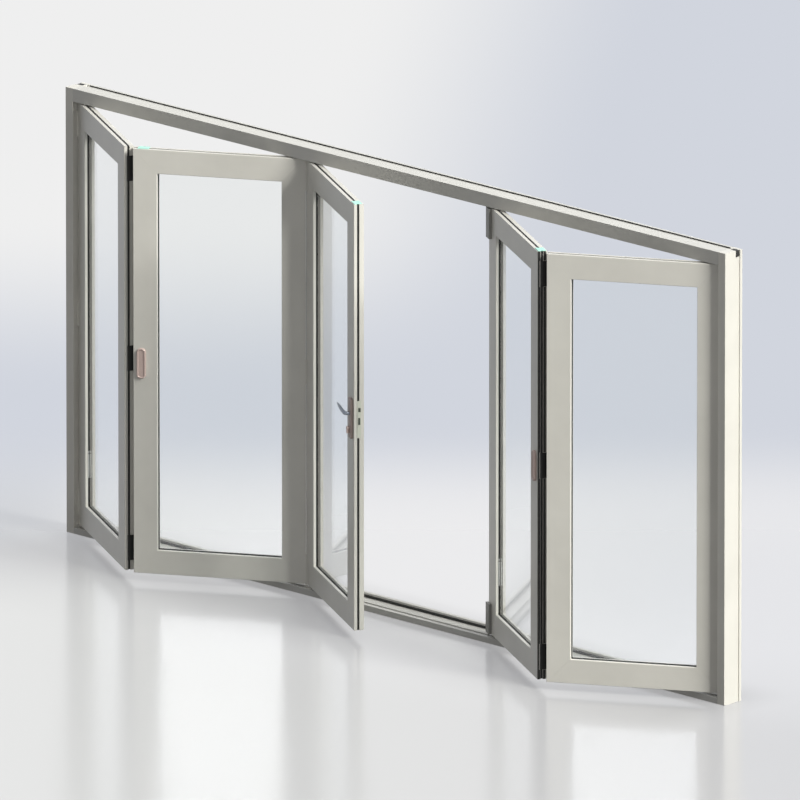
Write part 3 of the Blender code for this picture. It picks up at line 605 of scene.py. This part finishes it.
# %% [markdown]
# ## Floor
# The studio floor is pale and slightly glossy and fades out behind the door, where the backdrop
# shows through it. It lies half a millimetre under the door's foot, so that no two faces share a
# plane. A floor lit by the lamps alone would go dark under the panels, so most of its light is a
# steady glow, graded by the distance away from the camera and across the picture. Painted shade
# darkens the glow along the door, and a painted shadow darkens it far to the left behind the door.

# %% Graded surfaces
AWAY = (-math.sin(AZIMUTH), math.cos(AZIMUTH), 0.0)
ACROSS = (math.cos(AZIMUTH), math.sin(AZIMUTH), 0.0)
SIDEWAYS, BACKWARDS, UPWARDS = (1.0, 0.0, 0.0), (0.0, 1.0, 0.0), (0.0, 0.0, 1.0)


def grid_object(name, points, material):
    """A mesh from a grid of points: rows by columns by 3. Each square of the grid is one quad."""
    rows, columns = points.shape[:2]
    index = np.arange(rows * columns).reshape(rows, columns)
    quads = np.stack([index[:-1, :-1], index[:-1, 1:], index[1:, 1:], index[1:, :-1]], axis=-1)
    mesh = bpy.data.meshes.new(name)
    mesh.from_pydata(points.reshape(-1, 3).tolist(), [], quads.reshape(-1, 4).tolist())
    mesh.polygons.foreach_set("use_smooth", np.full(len(mesh.polygons), True))
    mesh.materials.append(material)
    obj = bpy.data.objects.new(name, mesh)
    bpy.context.scene.collection.objects.link(obj)
    return obj


def coordinate(tree, direction):
    """How far a point of the object lies along a direction, in metres: a dot product."""
    place = add(tree, "ShaderNodeTexCoord").outputs["Object"]
    return add(tree, "ShaderNodeVectorMath", {0: place, 1: direction},
               operation="DOT_PRODUCT").outputs["Value"]


def ease(tree, value, start, end):
    """A smooth step: nought up to the start, one from the end on."""
    return add(tree, "ShaderNodeMapRange", {"Value": value, "From Min": start, "From Max": end},
               interpolation_type="SMOOTHSTEP").outputs["Result"]


print("away from the camera is", np.round(AWAY, 3), "and across the picture", np.round(ACROSS, 3))

# %% Floor
FLOOR_SPAN = 320.0
FLOOR_DROP = 0.0005
FLOOR_COLOUR = "#7C7C7C"
GLOW_LEFT, GLOW_RIGHT = "#ADAEAE", "#A3A3A5"
# Of the last three, the far left one is the door's painted shadow and the last is painted shade along the
# door
GLOW_BEHIND, PAINTED_DOOR_SHADOW, DOOR_BAND_PAINTED_SHADE = "#B3B3B6", "#98999C", "#949496"
FLOOR_BOUNCE = "#646462"
# Where each change starts and where it is done, in metres
FADE_AWAY, FADE_FAR = (0.6, 3.4), (12.0, 45.0)
LEFT_TO_RIGHT = (-2.2, 2.2)
BEHIND_AWAY, BEHIND_ACROSS, BEHIND_SLANT = (-1.6, 0.2), (-1.7, -0.2), 0.4
# Where the door's painted shadow lies, far to the left behind it
DOOR_SHADOW_AWAY, DOOR_SHADOW_ACROSS = (0.0, 1.4), (-1.2, -1.8)
# The band of painted shade along the door: its front, its back and its sides
SHADE_BAND_FRONT, SHADE_BAND_BACK, SHADE_BAND_SIDES = (-0.80, -0.20), (0.35, 0.0), (2.25, 1.95)


def pale_floor(name, colour):
    """Smooth pale floor that fades out behind the object and far away. Part of its light is a
    steady glow, which keeps the shadows pale. The glow is weaker along the door, which paints shade
    there, and far to the left behind the door, which paints the door's shadow. To diffuse rays it
    is only a grey glow, the same all over, so that it lights the door evenly from below."""
    material, tree, surface = new_material(name)
    away, across = coordinate(tree, AWAY), coordinate(tree, ACROSS)
    place = add(tree, "ShaderNodeTexCoord").outputs["Object"]
    distance = add(tree, "ShaderNodeVectorMath", {0: place}, operation="LENGTH").outputs["Value"]
    fade = combined(tree, "MAXIMUM", ease(tree, away, *FADE_AWAY), ease(tree, distance, *FADE_FAR))
    glow = blend_colour(tree, ease(tree, across, *LEFT_TO_RIGHT), GLOW_LEFT, GLOW_RIGHT)
    slant = combined(tree, "ADD", away, combined(tree, "MULTIPLY", across, BEHIND_SLANT))
    behind = combined(tree, "MULTIPLY", ease(tree, slant, *BEHIND_AWAY), ease(tree, across, *BEHIND_ACROSS))
    glow = blend_colour(tree, behind, glow, GLOW_BEHIND)
    # The door's shadow far to the left behind it, painted into the glow
    door_shadow_mask = combined(tree, "MULTIPLY", ease(tree, away, *DOOR_SHADOW_AWAY),
                        ease(tree, across, *DOOR_SHADOW_ACROSS))
    glow = blend_colour(tree, door_shadow_mask, glow, PAINTED_DOOR_SHADOW)
    # A band of painted shade on the floor along the door, mostly in front of it
    back = coordinate(tree, BACKWARDS)
    beside = combined(tree, "ABSOLUTE", coordinate(tree, SIDEWAYS), 0.0)
    under = combined(tree, "MULTIPLY", ease(tree, back, *SHADE_BAND_FRONT), ease(tree, back, *SHADE_BAND_BACK))
    under = combined(tree, "MULTIPLY", under, ease(tree, beside, *SHADE_BAND_SIDES))
    glow = blend_colour(tree, under, glow, DOOR_BAND_PAINTED_SHADE)
    bounce = add(tree, "ShaderNodeLightPath").outputs["Is Diffuse Ray"]
    shader = add(tree, "ShaderNodeBsdfPrincipled",
                 {"Base Color": linear(colour), "Roughness": 0.16, "IOR": 1.42,
                  "Emission Color": glow, "Emission Strength": 1.0})
    grey = add(tree, "ShaderNodeEmission", {"Color": linear(FLOOR_BOUNCE)})
    solid = add(tree, "ShaderNodeMixShader",
                {0: bounce, 1: shader.outputs["BSDF"], 2: grey.outputs["Emission"]})
    clear = add(tree, "ShaderNodeBsdfTransparent")
    mix = add(tree, "ShaderNodeMixShader",
              {0: fade, 1: solid.outputs["Shader"], 2: clear.outputs["BSDF"]})
    tree.links.new(mix.outputs["Shader"], surface)
    return material


span = np.linspace(-FLOOR_SPAN / 2, FLOOR_SPAN / 2, 3)
floor_x, floor_y = np.meshgrid(span, span)
floor_points = np.stack([floor_x, floor_y, np.full_like(floor_x, -FLOOR_DROP)], axis=-1)
floor = grid_object("studio_floor", floor_points, pale_floor("pale_studio_floor", FLOOR_COLOUR))
print("floor", FLOOR_SPAN, "m wide, clear from", FADE_AWAY[1], "m behind the door")

# %% [markdown]
# ## Backdrop
# A studio backdrop hangs 8 m behind the door, square to the picture. It is white at the upper
# left, a cool lavender grey in the middle and pale again where it meets the floor. The world could
# carry these tints by direction, but on a hung sheet they are placed in metres. Only what looks at
# it sees it, whether straight, in a mirror or through glass: it throws no light on the door.

# %% Backdrop
BACKDROP_AWAY = 8.0
BACKDROP_HALF = 7.0
BORDER = 0.6
WHITE, LAVENDER, HORIZON = "#EFEFEF", "#D1D5DE", "#ECECEE"
# Where each change starts and where it is done, in metres across the sheet or up it
WHITE_ACROSS, WHITE_LEAN, WHITE_UP = (1.0, -0.5), 0.35, (-1.2, -0.3)
HORIZON_UP, HORIZON_ACROSS = (-1.36, -1.90), (-1.75, -1.0)


def seen_only(tree):
    """One for camera, glossy and transmission rays, nought for the rest."""
    path = add(tree, "ShaderNodeLightPath").outputs
    straight = combined(tree, "MAXIMUM", path["Is Camera Ray"], path["Is Glossy Ray"])
    return combined(tree, "MAXIMUM", straight, path["Is Transmission Ray"])


def hung_backdrop(name):
    """A glow graded across and up the sheet, clear at its borders and from behind."""
    material, tree, surface = new_material(name)
    across, up = coordinate(tree, ACROSS), coordinate(tree, UPWARDS)
    leaning = combined(tree, "SUBTRACT", across, combined(tree, "MULTIPLY", up, WHITE_LEAN))
    left = ease(tree, leaning, *WHITE_ACROSS)
    high = ease(tree, up, *WHITE_UP)
    colour = blend_colour(tree, combined(tree, "MULTIPLY", left, high), LAVENDER, WHITE)
    low = ease(tree, up, *HORIZON_UP)
    floor_side = ease(tree, across, *HORIZON_ACROSS)
    colour = blend_colour(tree, combined(tree, "MULTIPLY", low, floor_side), colour, HORIZON)
    glow = add(tree, "ShaderNodeEmission", {"Color": colour, "Strength": 1.0})
    border = (BORDER * BACKDROP_HALF, BACKDROP_HALF)
    out = combined(tree, "MAXIMUM", ease(tree, combined(tree, "ABSOLUTE", across, 0.0), *border),
                   ease(tree, combined(tree, "ABSOLUTE", up, 0.0), *border))
    inside = combined(tree, "SUBTRACT", 1.0, out)
    facing = combined(tree, "SUBTRACT", 1.0, add(tree, "ShaderNodeNewGeometry").outputs["Backfacing"])
    share = combined(tree, "MULTIPLY", combined(tree, "MULTIPLY", inside, facing), seen_only(tree))
    clear = add(tree, "ShaderNodeBsdfTransparent")
    mix = add(tree, "ShaderNodeMixShader",
              {0: share, 1: clear.outputs["BSDF"], 2: glow.outputs["Emission"]})
    tree.links.new(mix.outputs["Shader"], surface)
    return material


span = np.linspace(-BACKDROP_HALF, BACKDROP_HALF, 3)
across, up = np.meshgrid(span, span)
sheet_points = across[..., None] * np.array(ACROSS) + BACKDROP_AWAY * np.array(AWAY)
sheet_points = sheet_points + up[..., None] * np.array(UPWARDS)
backdrop_sheet = grid_object("studio_backdrop", sheet_points, hung_backdrop("graded_backdrop"))
print("backdrop", 2 * BACKDROP_HALF, "m wide and", BACKDROP_AWAY, "m behind")

# %% [markdown]
# ## A softbox for the glass
# High up in front of the door hangs a wide softbox, seen only by way of two mirrors or more. The
# panes throw its image onto the glossy floor, as bright bands below the glass. Its glow waits for
# the second mirror, so that neither the panes nor the floor show it by themselves.

# %% Softbox
BOX_MIDDLE = (2.7, -8.0, 3.32)
BOX_HALF = (3.4, 1.05)
BOX_GLOW = 12.5
ONE_MIRROR = 1.5


def softbox_glow(name):
    """A glow from its front, for rays that come by way of two mirrors or more."""
    material, tree, surface = new_material(name)
    facing = combined(tree, "SUBTRACT", 1.0, add(tree, "ShaderNodeNewGeometry").outputs["Backfacing"])
    mirrors = add(tree, "ShaderNodeLightPath").outputs["Glossy Depth"]
    glossy = combined(tree, "GREATER_THAN", mirrors, ONE_MIRROR)
    glow = add(tree, "ShaderNodeEmission", {"Color": linear("#FFFFFF"), "Strength": BOX_GLOW})
    clear = add(tree, "ShaderNodeBsdfTransparent")
    share = combined(tree, "MULTIPLY", facing, glossy)
    mix = add(tree, "ShaderNodeMixShader",
              {0: share, 1: clear.outputs["BSDF"], 2: glow.outputs["Emission"]})
    tree.links.new(mix.outputs["Shader"], surface)
    return material


side, rise = np.meshgrid(np.array([1.0, -1.0]) * BOX_HALF[0], np.array([-1.0, 1.0]) * BOX_HALF[1])
box_points = np.stack([side, np.zeros_like(side), rise], axis=-1) + np.array(BOX_MIDDLE)
softbox = grid_object("studio_softbox", box_points, softbox_glow("softbox_cloth"))
print("softbox faces", np.round(tuple(softbox.data.polygons[0].normal), 2))

# %% [markdown]
# ## Light
# A weak even light comes from all round, and what looks out past the floor sees a pale grey. One
# strong lamp from the right lights the edges that face it, and four weak ones open up the other
# sides. They are far lamps as wide as softboxes, because a near one would light one end of a door
# this long more than the other. Two of them are kept out of mirrors, where they would burn out
# the floor in the views from the side and from behind.

# %% World
SURROUND = "#DADDE4"
AMBIENT = "#ECEEF1"
AMBIENT_STRENGTH = 0.13

world = bpy.data.worlds.new("studio")
bpy.context.scene.world = world
world.use_nodes = True
tree = world.node_tree
tree.nodes.clear()
ambient = add(tree, "ShaderNodeBackground", {"Color": linear(AMBIENT), "Strength": AMBIENT_STRENGTH})
surround = add(tree, "ShaderNodeBackground", {"Color": linear(SURROUND), "Strength": 1.0})
mixed = add(tree, "ShaderNodeMixShader", {0: seen_only(tree), 1: ambient.outputs["Background"],
                                          2: surround.outputs["Background"]})
add(tree, "ShaderNodeOutputWorld", {"Surface": mixed.outputs["Shader"]})
print("ambient light", AMBIENT_STRENGTH, "of full white")


# %% Lamps
def soft_lamp(name, direction, strength, spread, colour, mirrored):
    """A far lamp as wide as a softbox: strength pi lights a facing white surface to full white."""
    data = bpy.data.lights.new(name, "SUN")
    data.energy = strength * math.pi
    data.angle = math.radians(spread)
    data.color = linear(colour)[:3]
    lamp = bpy.data.objects.new(name, data)
    lamp.rotation_euler = Vector(direction).to_track_quat("Z", "Y").to_euler()
    lamp.visible_glossy = mirrored
    bpy.context.scene.collection.objects.link(lamp)


# Each lamp: direction towards it, strength, spread in degrees, colour, and whether mirrors show it
LAMPS = {"right_light": ((0.84, 0.065, 0.54), 1.42, 22.0, "#FFFEF8", True),
         "top_light": ((0.10, 0.15, 0.98), 0.22, 60.0, "#FFFFFF", True),
         "back_fill": ((-0.70, 0.62, 0.35), 0.28, 60.0, "#FAFBFD", True),
         "left_fill": ((-0.97, 0.04, 0.25), 0.12, 30.0, "#FAFBFD", False),
         "front_fill": ((0.42, -0.85, 0.28), 0.11, 60.0, "#FDFBF8", False)}
for name, settings in LAMPS.items():
    soft_lamp(name, *settings)
print(len(LAMPS), "lamps")

# %% [markdown]
# ## Colour
# The standard view shows a colour as it is written. A film-like view would grey the white coat.

# %% Colour management
bpy.context.scene.view_settings.view_transform = "Standard"
print("view:", bpy.context.scene.view_settings.view_transform)
